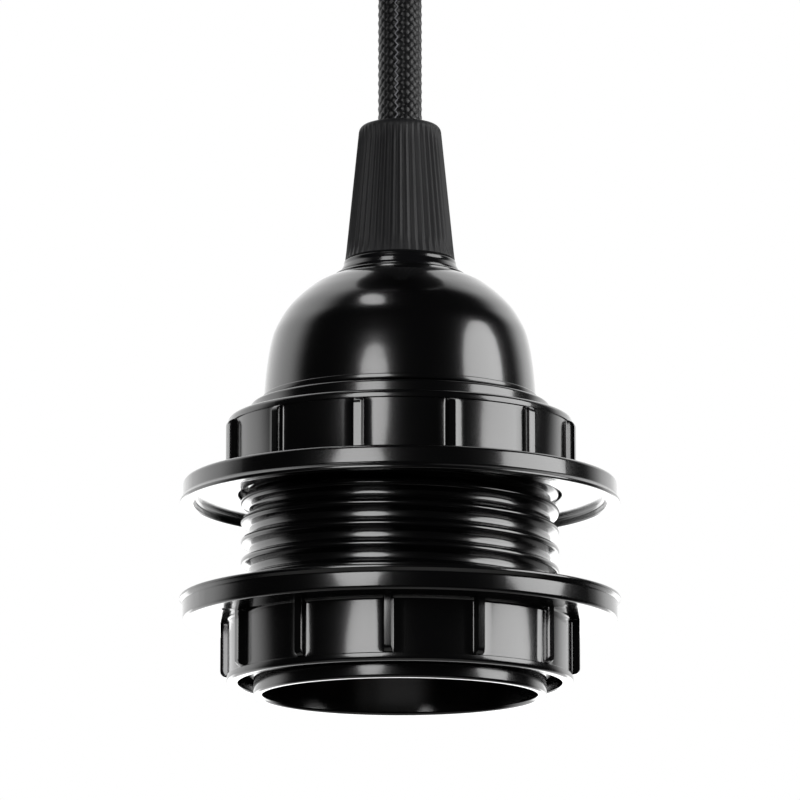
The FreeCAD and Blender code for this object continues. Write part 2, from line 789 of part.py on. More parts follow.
def core(label, sign):
    """An insulated core, from the end of the cord's sheath down into its terminal."""
    top = value_of(f"{CAP_TOP} - stem_length - tail_length")
    floor = value_of(f"{BASE_TOP} + terminal_height - terminal_bore_depth")
    bend = value_of("core_bend")
    near = sign * value_of("core_offset")
    far = sign * value_of("terminal_offset")
    crossing = (top + value_of(f"{BASE_TOP} + terminal_height")) / 2
    corners = [
        (near, top),
        (near, crossing + bend),
        (near + sign * bend, crossing),
        (far - sign * bend, crossing),
        (far, crossing - bend),
        (far, floor),
    ]
    path = Part.makePolygon([FreeCAD.Vector(x, 0, z) for x, z in corners])
    section = Part.Wire(Part.makeCircle(value_of("core_radius"), path.Vertexes[0].Point))
    feature = document.addObject("Part::Feature", label)
    feature.Label = label
    feature.Shape = path.makePipeShell([section], True, False, MITRED)
    return feature


def build_all():
    """Build every sub-part and return them."""
    fill_sheet()
    return [
        ceiling_cup(),
        ceiling_bracket(),
        cup_screws(),
        cord_stop(),
        cord_stop_screw(),
        cord(),
        cord_tail(),
        grip_nut(),
        grip_bush(),
        lock_nut(),
        cap(),
        skirt(),
        shade_ring("upper_shade_ring", UPPER_RING_BASE, False, UPPER_RING_TURN),
        shade_ring("lower_shade_ring", LOWER_RING_TOP, True, LOWER_RING_TURN),
        contact_base(),
        screw_shell(),
        centre_contact(),
        leaf_rivet(),
        shell_rivets(),
        live_terminal(),
        neutral_terminal(),
        terminal_screws(),
        core("live_core", 1),
        core("neutral_core", -1),
    ]


def check_and_export(pieces):
    """Stop if any object failed, and write each sub-part to its own STEP file."""
    document.recompute()
    failed = [item.Name for item in document.Objects if {"Invalid", "Error"} & set(item.State)]
    if failed:
        raise RuntimeError(f"these objects failed: {failed}")
    os.makedirs("parts", exist_ok=True)
    for piece in pieces:
        if piece.Shape.isNull() or not piece.Shape.isValid():
            raise RuntimeError(f"{piece.Label} has no valid shape")
        piece.Shape.exportStep(f"parts/{piece.Label}.step")


check_and_export(build_all())
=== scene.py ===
"""Dressed scene of a black pendant lamp holder with two screw-on shade rings.

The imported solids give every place. Each class below finishes one sub-assembly over them, in metres,
in the same frame: the origin is on the ceiling, +Z points up and -Y is the front.
"""

import json
import logging
from dataclasses import dataclass, field
from enum import Enum
from math import atan2, cos, hypot, pi, radians, sin, sqrt, tan
from typing import Callable, Optional, Sequence

import bpy
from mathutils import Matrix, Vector

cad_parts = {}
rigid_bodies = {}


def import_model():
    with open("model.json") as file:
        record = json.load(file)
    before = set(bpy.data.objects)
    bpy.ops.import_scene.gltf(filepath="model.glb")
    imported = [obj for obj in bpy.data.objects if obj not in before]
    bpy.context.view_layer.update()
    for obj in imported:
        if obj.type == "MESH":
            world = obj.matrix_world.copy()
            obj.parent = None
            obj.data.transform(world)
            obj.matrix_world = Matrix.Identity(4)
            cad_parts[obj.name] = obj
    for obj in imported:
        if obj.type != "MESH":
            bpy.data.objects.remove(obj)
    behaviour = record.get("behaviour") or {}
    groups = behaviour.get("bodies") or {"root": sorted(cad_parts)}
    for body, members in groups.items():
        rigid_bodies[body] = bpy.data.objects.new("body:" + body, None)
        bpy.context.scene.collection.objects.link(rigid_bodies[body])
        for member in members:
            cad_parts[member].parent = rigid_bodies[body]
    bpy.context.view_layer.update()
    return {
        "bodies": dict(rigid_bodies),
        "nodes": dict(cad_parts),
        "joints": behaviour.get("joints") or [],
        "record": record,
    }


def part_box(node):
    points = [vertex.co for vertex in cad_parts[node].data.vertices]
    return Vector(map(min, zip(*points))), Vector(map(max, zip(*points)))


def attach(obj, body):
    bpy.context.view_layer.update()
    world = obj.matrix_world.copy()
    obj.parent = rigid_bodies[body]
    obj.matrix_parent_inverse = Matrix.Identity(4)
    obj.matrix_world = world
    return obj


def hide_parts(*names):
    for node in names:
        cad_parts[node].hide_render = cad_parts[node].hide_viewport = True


LOG = logging.getLogger("lamp_holder")
MM = 0.001
TURN = 2.0 * pi

Triple = tuple[float, float, float]
Corner = Triple
Spot = tuple[float, float]
Rows = list[list[Vector]]
Part = tuple[Rows, bool, bool]
Piece = bpy.types.Object
Tree = bpy.types.NodeTree
Socket = bpy.types.NodeSocket

NEARLY_STRAIGHT = 0.497 * pi  # half of a corner's angle, above which it gets no fillet
SIDE_SHARE = 0.49  # how much of a side one fillet may take
FINE = 3.0  # a noise's detail where it is fine
SLOW = 1.0  # and where it is a slow wave
EDGE_SEGMENTS = 2
EDGE_ANGLE = 40.0


# Profiles and surfaces

def rounded(corners: Sequence[Corner], steps: int = 5) -> list[Spot]:
    """Round the corners of a closed outline.

    Args:
        corners: Each corner as (radius, height, fillet), in millimetres.
        steps: How many points a fillet gets.

    Returns:
        The outline's points as (radius, height), in millimetres.
    """
    points: list[Spot] = []
    for index, (radius, height, fillet) in enumerate(corners):
        here = Vector((radius, height))
        before = Vector(corners[index - 1][:2]) - here
        after = Vector(corners[(index + 1) % len(corners)][:2]) - here
        half = before.angle(after) / 2.0
        if fillet <= 0.0 or half > NEARLY_STRAIGHT:
            points.append((radius, height))
            continue
        reach = min(fillet / tan(half), SIDE_SHARE * before.length, SIDE_SHARE * after.length)
        bend = reach * tan(half)
        middle = here + (before.normalized() + after.normalized()).normalized() * bend / sin(half)
        first = here + before.normalized() * reach - middle
        last = here + after.normalized() * reach - middle
        sweep = atan2(first.cross(last), first.dot(last))
        for step in range(steps):
            turn = sweep * step / (steps - 1)
            x = first.x * cos(turn) - first.y * sin(turn)
            y = first.x * sin(turn) + first.y * cos(turn)
            points.append((middle.x + x, middle.y + y))
    return points


def flowing(points: Sequence[Spot], steps: int = 5) -> list[Corner]:
    """Draw one smooth curve through points.

    Args:
        points: The points as (radius, height), in millimetres.
        steps: How many parts the curve has between two points.

    Returns:
        The curve's points as corners with no fillet.
    """
    spots = [Vector(point) for point in points]
    ends = [spots[0] * 2 - spots[1], *spots, spots[-1] * 2 - spots[-2]]
    path: list[Corner] = []
    for index in range(1, len(ends) - 2):
        a, b, c, d = ends[index - 1:index + 3]
        for step in range(steps):
            t = step / steps
            spot = 0.5 * (2 * b + (c - a) * t + (2 * a - 5 * b + 4 * c - d) * t ** 2
                          + (3 * b - a - 3 * c + d) * t ** 3)
            path.append((spot.x, spot.y, 0.0))
    path.append((spots[-1].x, spots[-1].y, 0.0))
    return path


def around(radius: float, angle: float, height: float) -> Vector:
    """A point at a radius and a height in millimetres, turned from +X by an angle in radians."""
    return Vector((radius * cos(angle), radius * sin(angle), height)) * MM


def placed(name: str, data: bpy.types.ID) -> Piece:
    """Make an object of some data and link it to the scene."""
    piece = bpy.data.objects.new(name, data)
    bpy.context.scene.collection.objects.link(piece)
    return piece


def grid_mesh(name: str, parts: Sequence[Part], crease: float) -> bpy.types.Mesh:
    """Build one mesh of several grids of points.

    Args:
        name: The mesh's name.
        parts: Each grid's rows, whether its rows close round, and whether its last row meets its first.
        crease: The angle in degrees above which an edge stays sharp.

    Returns:
        The smoothly shaded mesh.
    """
    spots: list[Vector] = []
    faces: list[tuple[int, ...]] = []
    for rows, closed, joined in parts:
        start, width = len(spots), len(rows[0])
        spots.extend(spot for row in rows for spot in row)
        for index in range(len(rows) if joined else len(rows) - 1):
            low, high = start + index * width, start + (index + 1) % len(rows) * width
            for column in range(width if closed else width - 1):
                beside = (column + 1) % width
                faces.append((low + column, low + beside, high + beside, high + column))
    mesh = bpy.data.meshes.new(name)
    mesh.from_pydata(spots, [], faces)
    mesh.validate()
    mesh.shade_smooth()
    mesh.set_sharp_from_angle(angle=radians(crease))
    return mesh


def lathe_rows(outline: Sequence[Spot], segments: int,
               reach: Optional[Callable[[float, int], float]] = None) -> Rows:
    """Turn an outline about the axis.

    Args:
        outline: The points as (radius, height), in millimetres.
        segments: How many steps a turn has.
        reach: Adds to the radius in millimetres, given the angle in radians and the point's number.

    Returns:
        One row of points for each point of the outline.
    """
    rows: Rows = []
    for number, (radius, height) in enumerate(outline):
        row = []
        for step in range(segments):
            angle = -TURN * step / segments
            extra = reach(angle, number) if reach else 0.0
            row.append(around(radius + extra, angle, height))
        rows.append(row)
    return rows


class Hand(Enum):
    """Which way a thread climbs."""

    RIGHT = 1.0
    LEFT = -1.0


@dataclass(frozen=True)
class Thread:
    """A round-edged screw thread that stands on a cylinder, in millimetres."""

    root: float
    crest: float
    pitch: float
    crest_width: float
    foot_width: float
    hand: Hand
    crown: float = 0.0
    hollow: float = 0.0
    lift: float = 0.03
    seam: float = 0.01
    buried: float = 0.3
    foot_round: float = 0.1
    crest_round: float = 0.2
    fade: float = 0.35
    end_depth: float = 0.25
    end_width: float = 0.4

    def section(self) -> list[Spot]:
        """The ridge across its run, as (height over the root, distance along the axis)."""
        foot, top, rise = self.foot_width / 2, self.crest_width / 2, self.crest - self.root
        crest = [(rise - self.crown * (share / 4) ** 2, top * share / 4, 0.0) for share in range(-3, 4)]
        edge, lift, root = foot, 0.0, []
        if self.hollow:
            edge, lift = self.pitch / 2 - self.seam, self.lift
            root = [(lift + self.hollow * (share / 3) ** 2, edge + (foot - edge) * share / 3, 0.0)
                    for share in range(3)]
        side = [*root, (lift + self.hollow, foot, self.foot_round)]
        corners = [(-self.buried, -edge, 0.0), *((height, -along, bend) for height, along, bend in side),
                   (rise - self.crown, -top, self.crest_round), *crest,
                   (rise - self.crown, top, self.crest_round), *reversed(side), (-self.buried, edge, 0.0)]
        return rounded(corners, 5)

    def rows(self, base: float, length: float, phase: float = 0.0, steps: int = 84) -> Rows:
        """Sweep the ridge up the axis.

        Args:
            base: The height where the ridge's middle starts.
            length: How far along the axis it climbs.
            phase: The angle in radians where it starts.
            steps: How many steps a turn has.

        Returns:
            One row of points for each step, each row running across the ridge.
        """
        count = round(length / self.pitch * steps)
        section = self.section()
        rows: Rows = []
        for step in range(count + 1):
            turns = step / steps
            left = min(turns, (count - step) / steps) / self.fade
            swell = sin(min(left, 1.0) * pi / 2)
            angle = phase + self.hand.value * TURN * turns
            height = base + self.pitch * turns
            width = self.end_width + (1.0 - self.end_width) * swell
            rows.append([around(self.root - self.end_depth + (rise + self.end_depth) * swell, angle,
                                height + along * width) for rise, along in section])
        return rows


# Colours, nodes and finishes

def linear(code: str, alpha: float = 1.0) -> tuple[float, float, float, float]:
    """Turn an sRGB hex colour such as "#1a1a1c" into linear values with an alpha."""
    parts = [int(code[place:place + 2], 16) / 255.0 for place in (1, 3, 5)]
    return (*(v / 12.92 if v <= 0.04045 else ((v + 0.055) / 1.055) ** 2.4 for v in parts), alpha)


def add_node(tree: Tree, kind: str, settings: Optional[dict] = None,
             links: Optional[dict] = None) -> bpy.types.Node:
    """Add a node to a tree.

    Args:
        tree: The tree that takes the node.
        kind: The node's type name.
        settings: Values for its properties and, by socket name or number, for its inputs.
        links: For each input's name or number, the output socket that feeds it.

    Returns:
        The new node.
    """
    node = tree.nodes.new(kind)
    for key, value in (settings or {}).items():
        if isinstance(key, str) and hasattr(node, key):
            setattr(node, key, value)
        else:
            node.inputs[key].default_value = value
    for key, output in (links or {}).items():
        tree.links.new(output, node.inputs[key])
    return node


@dataclass(frozen=True)
class Finish:
    """What every finish has: its names, its colours and how its surface is made."""

    name: str
    slot: str
    colour: str
    shade: str
    roughness: float
    spread: float
    ior: float = 1.5
    metallic: float = 0.0
    coat: float = 0.0
    coat_roughness: float = 0.03
    sheen: float = 0.0
    sheen_roughness: float = 0.4
    patch_mm: float = 9.0
    gloss_share: float = 0.6
    grain_mm: float = 0.4
    relief_mm: float = 0.004

    def material(self) -> bpy.types.Material:
        """Build the finish's material, or return it if it is built already."""
        made = bpy.data.materials.get(self.name)
        if made:
            return made
        made = bpy.data.materials.new(self.name)
        made.use_nodes = True
        tree = made.node_tree
        tree.nodes.clear()
        place = add_node(tree, "ShaderNodeTexCoord").outputs["Object"]
        shader = add_node(tree, "ShaderNodeBsdfPrincipled", {
            "Metallic": self.metallic, "IOR": self.ior, "Coat Weight": self.coat,
            "Coat Roughness": self.coat_roughness, "Sheen Weight": self.sheen,
            "Sheen Roughness": self.sheen_roughness,
        })
        tree.links.new(self.tint(tree, place), shader.inputs["Base Color"])
        tree.links.new(self.gloss(tree, place), shader.inputs["Roughness"])
        relief = self.relief(tree, place)
        tree.links.new(relief, shader.inputs["Normal"])
        if self.coat:
            tree.links.new(relief, shader.inputs["Coat Normal"])
        add_node(tree, "ShaderNodeOutputMaterial", links={"Surface": shader.outputs["BSDF"]})
        return made

    def tint(self, tree: Tree, place: Socket) -> Socket:
        """The colour, which drifts between its two tones over the patches."""
        patches = add_node(tree, "ShaderNodeTexNoise", {"Scale": 1.0 / (self.patch_mm * MM), "Detail": FINE},
                           {"Vector": place}).outputs["Fac"]
        tones = add_node(tree, "ShaderNodeValToRGB", links={"Fac": patches})
        for stop, position, code in zip(tones.color_ramp.elements, (0.3, 0.7), (self.shade, self.colour)):
            stop.position = position
            stop.color = linear(code)
        return tones.outputs["Color"]

    def gloss(self, tree: Tree, place: Socket) -> Socket:
        """The roughness, which varies over patches a little smaller than the colour's."""
        scale = 1.0 / (self.patch_mm * self.gloss_share * MM)
        patches = add_node(tree, "ShaderNodeTexNoise", {"Scale": scale, "Detail": FINE},
                           {"Vector": place}).outputs["Fac"]
        return add_node(tree, "ShaderNodeMapRange", {
            "To Min": self.roughness - self.spread, "To Max": self.roughness + self.spread,
        }, {"Value": patches}).outputs["Result"]

    def relief(self, tree: Tree, place: Socket) -> Socket:
        """The fine unevenness of the surface, as a normal."""
        grain = add_node(tree, "ShaderNodeTexNoise", {"Scale": 1.0 / (self.grain_mm * MM), "Detail": FINE},
                         {"Vector": place}).outputs["Fac"]
        return add_node(tree, "ShaderNodeBump", {"Strength": 1.0, "Distance": self.relief_mm * MM},
                        {"Height": grain}).outputs["Normal"]


@dataclass(frozen=True)
class PolishedPhenolic(Finish):
    """Compression-moulded phenolic resin: deep black, with the wet gloss of a polished steel mould.

    The moulding shrinks a little unevenly, which gives its mirror a slow ripple, and handling leaves
    a faint haze.
    """

    name: str = "black_phenolic_polished"
    slot: str = "black_phenolic"
    colour: str = "#070708"
    shade: str = "#040405"
    roughness: float = 0.2
    spread: float = 0.03
    ior: float = 1.6
    coat: float = 1.0
    coat_roughness: float = 0.11
    patch_mm: float = 11.0
    ripple_mm: float = 5.0
    ripple_depth_mm: float = 0.012
    grain_mm: float = 0.5
    relief_mm: float = 0.0015

    def relief(self, tree: Tree, place: Socket) -> Socket:
        """A slow ripple under a very fine haze."""
        haze = super().relief(tree, place)
        waves = add_node(tree, "ShaderNodeTexNoise", {"Scale": 1.0 / (self.ripple_mm * MM), "Detail": SLOW},
                         {"Vector": place}).outputs["Fac"]
        ripple = add_node(tree, "ShaderNodeBump", {"Strength": 1.0, "Distance": self.ripple_depth_mm * MM},
                          {"Height": waves}).outputs["Normal"]
        tree.links.new(ripple, haze.node.inputs["Normal"])
        return haze


@dataclass(frozen=True)
class MouldedNylon(Finish):
    """Injection-moulded nylon: a soft black with a low satin sheen from a spark-eroded mould."""

    name: str = "black_nylon_moulded"
    slot: str = "black_nylon"
    colour: str = "#28282a"
    shade: str = "#222224"
    roughness: float = 0.56
    spread: float = 0.05
    ior: float = 1.53
    grain_mm: float = 0.25
    relief_mm: float = 0.012


@dataclass(frozen=True)
class GlossNylon(MouldedNylon):
    """The same nylon from a polished part of the mould, so it shines."""

    name: str = "black_nylon_gloss"
    colour: str = "#131315"
    shade: str = "#0d0d0f"
    roughness: float = 0.18
    spread: float = 0.03
    coat: float = 0.6
    relief_mm: float = 0.003


@dataclass(frozen=True)
class BraidedRayon(Finish):
    """Braided artificial-silk yarn: dark, with a soft lustre along its fibres and a little fuzz."""

    name: str = "black_rayon_braid"
    slot: str = "black_braid"
    colour: str = "#151517"
    shade: str = "#0e0e10"
    roughness: float = 0.36
    spread: float = 0.08
    sheen: float = 0.1
    patch_mm: float = 1.6
    grain_mm: float = 0.12
    relief_mm: float = 0.03


@dataclass(frozen=True)
class PaintedGlintYarn(BraidedRayon):
    """A painted glint: the same rayon in pale grey, laid as a zigzag where the braid's highlight falls."""

    name: str = "grey_rayon_painted_glint"
    colour: str = "#8e8e93"
    shade: str = "#6a6a70"


@dataclass(frozen=True)
class BakedEnamel(Finish):
    """Sprayed and baked enamel on pressed steel: satin black with a slight orange peel."""

    name: str = "black_enamel_baked"
    slot: str = "black_enamel"
    colour: str = "#19191b"
    shade: str = "#131315"
    roughness: float = 0.33
    spread: float = 0.05
    coat: float = 0.3
    coat_roughness: float = 0.2
    grain_mm: float = 0.9
    relief_mm: float = 0.008


@dataclass(frozen=True)
class ZincPlate(Finish):
    """Bright zinc plate on steel: pale grey metal with cloudy patches and fine rolling marks."""

    name: str = "steel_zinc_plated"
    slot: str = "zinc_plate"
    colour: str = "#c3c6c8"
    shade: str = "#a3a6a8"
    roughness: float = 0.3
    spread: float = 0.09
    metallic: float = 1.0
    patch_mm: float = 3.0
    grain_mm: float = 0.3
    relief_mm: float = 0.006


@dataclass(frozen=True)
class DrawnBrass(Finish):
    """Drawn and rolled brass: warm yellow metal, bright on the rolled crests and duller between."""

    name: str = "brass_drawn"
    slot: str = "brass"
    colour: str = "#dcb76a"
    shade: str = "#b8914a"
    roughness: float = 0.24
    spread: float = 0.08
    metallic: float = 1.0
    patch_mm: float = 4.0
    grain_mm: float = 0.25
    relief_mm: float = 0.005


class CoreColour(Enum):
    """The two cores' colours, with the record's slot, the tone and its darker tone."""

    LIVE = ("brown_pvc", "#6b3a1e", "#5a2f17")
    NEUTRAL = ("blue_pvc", "#2456a8", "#1c468c")


def core_finish(colour: CoreColour) -> Finish:
    """Extruded PVC of a core: smooth and slightly soft, with faint draw lines."""
    slot, tone, dark = colour.value
    return Finish(name=f"{slot}_extruded", slot=slot, colour=tone, shade=dark, roughness=0.38, spread=0.05,
                  ior=1.54, patch_mm=2.5, grain_mm=0.3, relief_mm=0.004)


# Sub-assemblies

@dataclass
class Assembly:
    """A sub-assembly that dresses CAD nodes or stands its own pieces in for them."""

    frame: dict

    def add(self, name: str, parts: Sequence[Part], finish: Finish, body: str, *nodes: str,
            crease: float = 32.0) -> Piece:
        """Put a piece in the scene.

        Args:
            name: The name of the piece and of its mesh.
            parts: Its grids of points, as grid_mesh takes them.
            finish: What it is made of.
            body: The CAD body that it rides on.
            nodes: The CAD nodes that it stands for.
            crease: The angle in degrees above which an edge stays sharp.

        Returns:
            The new object.
        """
        mesh = grid_mesh(name, parts, crease)
        piece = placed(name, mesh)
        mesh.materials.append(finish.material())
        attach(piece, body)
        if nodes:
            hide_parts(*nodes)
        LOG.info("%s: %d faces on %s", name, len(mesh.polygons), body)
        return piece

    def dress(self, finish: Finish, *nodes: str, edge_mm: float = 0.15) -> None:
        """Give CAD nodes a finish and softened edges.

        Args:
            finish: What they are made of.
            nodes: Their names.
            edge_mm: The width of the softened edges, in millimetres.
        """
        for node in nodes:
            piece = self.frame["nodes"][node]
            for slot in piece.material_slots:
                slot.material = finish.material()
            soften = piece.modifiers.new("softened_edges", "BEVEL")
            soften.width = edge_mm * MM
            soften.segments = EDGE_SEGMENTS
            soften.limit_method = "ANGLE"
            soften.angle_limit = radians(EDGE_ANGLE)
            soften.harden_normals = True
            LOG.info("%s: dressed in %s", node, finish.name)

    def top(self, node: str) -> float:
        """The height of a CAD node's top, in millimetres."""
        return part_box(node)[1][2] / MM

    def foot(self, node: str) -> float:
        """The height of a CAD node's foot, in millimetres."""
        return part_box(node)[0][2] / MM


@dataclass
class CeilingFitting(Assembly):
    """The cup at the ceiling, its bracket and the cord's stop inside it, in millimetres."""

    radius: float = 25.0
    wall: float = 1.6
    chamfer: float = 3.0
    hole: float = 3.4
    screw_drop: float = 4.5
    head_radius: float = 2.8
    head_height: float = 1.2
    shank_radius: float = 1.5
    shank_length: float = 5.0
    slot_width: float = 0.7
    slot_depth: float = 0.6
    screw_steps: int = 48

    def build(self) -> None:
        """Build the cup and its screws, and dress what is inside."""
        self.cup()
        self.screws()
        self.dress(ZincPlate(), "ceiling_bracket", "cord_stop_screw")
        self.dress(MouldedNylon(), "cord_stop", edge_mm=0.4)

    def cup(self) -> None:
        """Build the pressed cup, its edges rounded and its cord hole rolled inwards."""
        floor, inner = self.foot("ceiling_cup"), self.radius - self.wall
        outline = rounded([
            (inner, self.top("ceiling_cup"), 0.3),
            (inner, floor + self.chamfer, 2.0),
            (inner - self.chamfer + self.wall, floor + self.wall, 2.0),
            (self.hole + 0.9, floor + self.wall, 0.5),
            (self.hole + 0.5, floor + 3.0, 0.25),
            (self.hole, floor + 3.0, 0.25),
            (self.hole, floor, 0.5),
            (self.radius - self.chamfer, floor, 2.6),
            (self.radius, floor + self.chamfer, 2.6),
            (self.radius, self.top("ceiling_cup"), 0.3),
        ], 7)
        cup = lathe_rows(outline, 144)
        self.add("ceiling_cup_pressed", [(cup, True, True)], BakedEnamel(), "holder", "ceiling_cup")

    def screws(self) -> None:
        """Build the two cheese-head screws, slotted across."""
        parts = [(self.screw_rows(side), True, False) for side in (-1.0, 1.0)]
        self.add("cup_screws_slotted", parts, ZincPlate(), "holder", "cup_screws")

    def screw_rows(self, side: float) -> Rows:
        """One screw from its tip out to its slotted face.

        Args:
            side: 1.0 on +X and -1.0 on -X.

        Returns:
            The rows of points round the screw's own axis.
        """
        out, tip = self.radius + self.head_height, self.radius - self.shank_length
        outline = [
            (0.01, tip), (self.shank_radius - 0.4, tip), (self.shank_radius, tip + 0.4),
            (self.shank_radius, self.radius),
            (self.head_radius - 0.1, self.radius), (self.head_radius, self.radius + 0.15),
            (self.head_radius, out - 0.45), (self.head_radius - 0.2, out - 0.12),
            (self.head_radius - 0.5, out), (1.6, out), (0.9, out), (0.01, out),
        ]
        rows: Rows = []
        for radius, reach in outline:
            row = []
            for step in range(self.screw_steps):
                angle = TURN * step / self.screw_steps
                across, up = radius * cos(angle), radius * sin(angle)
                sunk = self.slot_depth if reach > out - 0.2 and abs(up) < self.slot_width / 2 else 0.0
                row.append(Vector((side * (reach - sunk), side * across, up - self.screw_drop)) * MM)
            rows.append(row)
        return rows


@dataclass
class Cord(Assembly):
    """The taut cord: a braided sleeve of yarns over its sheath, in millimetres."""

    radius: float = 3.0
    carriers: int = 12
    lead: float = 14.4
    yarn_width: float = 1.16
    yarn_height: float = 0.24
    yarn_sink: float = 0.08
    yarn_curl: float = 0.06
    yarn_sides: int = 8
    weave_lift: float = 0.07
    # Where the pale zigzag yarn lies: a painted glint, turned towards the front-left lamp.
    painted_glint_turn: float = -99.6
    painted_glint_pitch: float = 1.07
    painted_glint_sway: float = 0.2
    painted_glint_radius: float = 0.11
    painted_glint_sink: float = 0.03
    painted_glint_sides: int = 6
    steps: int = 96
    route: list[Vector] = field(default_factory=list)

    def build(self) -> None:
        low, high = self.foot("cord"), self.top("cord")
        heights = (low, low * 0.66 + high * 0.34, low * 0.33 + high * 0.67, high)
        self.route = [Vector((0.0, 0.0, height)) * MM for height in heights]
        sheath = self.sheath()
        braid = self.braid()
        # A pale yarn that paints the braid's glint.
        painted_glint = self.painted_glint()
        exit_height = self.top("grip_nut") * MM
        self.dress(BraidedRayon(), "cord_tail", edge_mm=0.1)
        self.dress(core_finish(CoreColour.LIVE), "live_core", edge_mm=0.1)
        self.dress(core_finish(CoreColour.NEUTRAL), "neutral_core", edge_mm=0.1)

    def sheath(self) -> Piece:
        """Build the round sheath that the braid lies on."""
        curve = bpy.data.curves.new("cord_sheath", "CURVE")
        curve.dimensions = "3D"
        spline = curve.splines.new("NURBS")
        spline.points.add(len(self.route) - 1)
        for point, place in zip(spline.points, self.route):
            point.co = (*place, 1.0)
        spline.order_u = 3
        spline.use_endpoint_u = True
        curve.bevel_depth = (self.radius - self.yarn_height) * MM
        curve.bevel_resolution = 6
        curve.use_fill_caps = True
        piece = placed("cord_sheath", curve)
        curve.materials.append(BraidedRayon().material())
        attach(piece, "holder")
        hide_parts("cord")
        return piece

    def braid(self) -> Piece:
        """Build the yarns, which pass over and under each other."""
        low, high = self.route[0].z / MM, self.route[-1].z / MM
        count = int((high - low) / self.lead * self.steps)
        parts = [(self.yarn(hand, carrier, low, count), True, False)
                 for hand in Hand for carrier in range(self.carriers)]
        return self.add("cord_braid", parts, BraidedRayon(), "holder", crease=60.0)

    def painted_glint(self) -> Piece:
        """Build a pale zigzag yarn on the sleeve's front: a painted glint of the braid."""
        low, high = self.route[0].z / MM, self.route[-1].z / MM
        rows: Rows = []
        for step in range(int((high - low) / self.painted_glint_pitch * 2)):
            turn = radians(self.painted_glint_turn) + self.painted_glint_sway * (-1) ** step / self.radius
            height = low + self.painted_glint_pitch * (step + 0.5) / 2
            swings = [TURN * side / self.painted_glint_sides for side in range(self.painted_glint_sides)]
            rows.append([around(self.radius - self.painted_glint_sink + self.painted_glint_radius * cos(swing),
                                turn + self.painted_glint_radius * sin(swing) / self.radius, height)
                         for swing in swings])
        return self.add("cord_painted_glint", [(rows, True, False)], PaintedGlintYarn(), "holder", crease=80.0)

    def yarn(self, hand: Hand, carrier: int, low: float, count: int) -> Rows:
        """One flat yarn along its helix.

        Args:
            hand: Which way it climbs.
            carrier: Its number in its family.
            low: The height where it starts.
            count: How many steps it has.

        Returns:
            One row of points round the yarn for each step.
        """
        start = TURN * carrier / self.carriers
        middle = self.radius - self.yarn_height / 2 - self.yarn_sink
        rows: Rows = []
        for step in range(count + 1):
            turns = step / self.steps
            angle = start + hand.value * TURN * turns
            wave = cos(self.carriers * (turns * TURN + hand.value * start))
            lift = hand.value * self.weave_lift * wave
            lean = hand.value * atan2(TURN * middle, self.lead)
            row = []
            for side in range(self.yarn_sides):
                swing = TURN * side / self.yarn_sides
                flat = self.yarn_width / 2 * cos(swing)
                rise = self.yarn_height / 2 * sin(swing) - self.yarn_curl * cos(swing) ** 2
                across, along = flat * cos(lean), -flat * sin(lean)
                row.append(around(middle + lift + rise, angle + across / middle,
                                  low + self.lead * turns + along))
            rows.append(row)
        return rows


